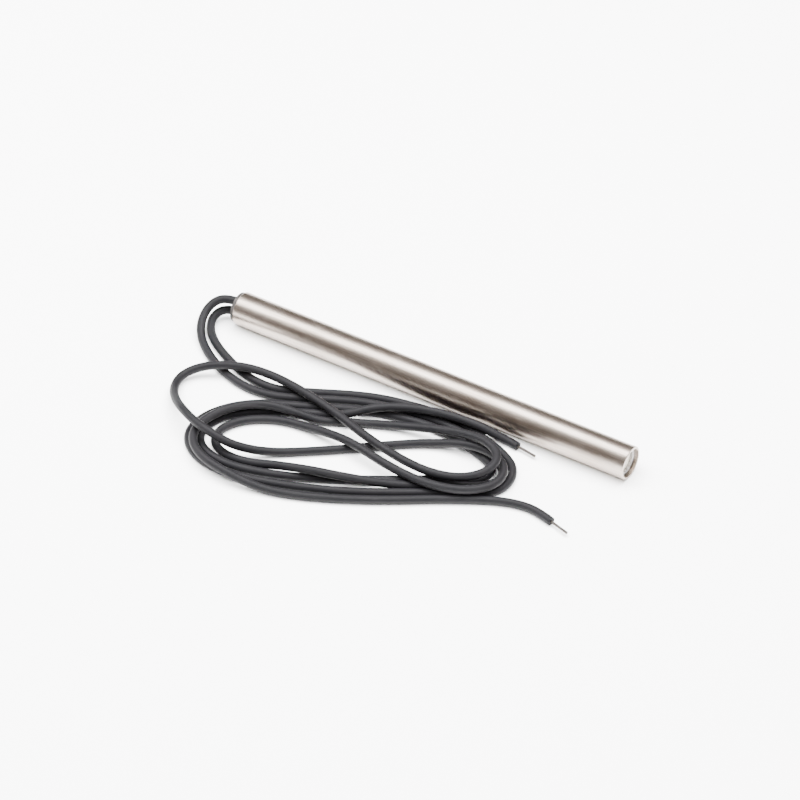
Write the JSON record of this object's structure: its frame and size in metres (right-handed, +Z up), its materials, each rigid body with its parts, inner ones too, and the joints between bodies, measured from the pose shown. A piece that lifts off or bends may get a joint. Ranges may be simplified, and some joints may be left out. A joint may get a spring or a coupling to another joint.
{
  "type": "soil moisture sensor",
  "caption": "Slim polished stainless tube with a porous sensing tip at one end and two insulated leads lying in loose loops from the other.",
  "frame": {"origin": "on the surface it lies on, under the middle of the tube", "axes": "+X along the tube from the lead end to the sensing tip, +Z up, leads on the -Y side"},
  "size_m": [0.1769, 0.0842, 0.0127],
  "materials": {
    "polished_steel": "polished, fine drawn grain along the tube",
    "spring_steel": "plain spring steel",
    "electrode_steel": "bright drawn rod",
    "seal_rubber": "moulded, matt",
    "potting_resin": "cast epoxy",
    "lead_insulation": "extruded insulation with a soft sheen",
    "tinned_copper": "tinned copper",
    "shrink_sleeve": "heat-shrunk sleeve",
    "white_plastic": "moulded",
    "granular_fill": "packed fine granules",
    "gypsum": "pressed wafer",
    "filter_cloth": "non-woven disc",
    "porous_ceramic": "sintered, fine pores"
  },
  "bodies": {
    "root": {"sensor_tube": "polished_steel", "retaining_ring": "spring_steel", "electrode_a": "electrode_steel", "electrode_b": "electrode_steel", "lead_seal": "seal_rubber", "bulkhead_ring": "seal_rubber", "potting_plug": "potting_resin", "lead_a": "lead_insulation", "lead_b": "lead_insulation", "lead_a_inner": "lead_insulation", "lead_b_inner": "lead_insulation", "wire_a_inner": "tinned_copper", "wire_b_inner": "tinned_copper", "lead_a_bare_end": "tinned_copper", "lead_b_bare_end": "tinned_copper", "ferrule_a": "tinned_copper", "ferrule_b": "tinned_copper", "splice_sleeve_a": "shrink_sleeve", "splice_sleeve_b": "shrink_sleeve", "bulkhead": "white_plastic", "electrode_liner": "white_plastic", "electrode_spacer": "white_plastic", "matrix_fill": "granular_fill", "gypsum_wafer": "gypsum", "filter_disc": "filter_cloth", "porous_tip": "porous_ceramic"}
  },
  "joints": []
}
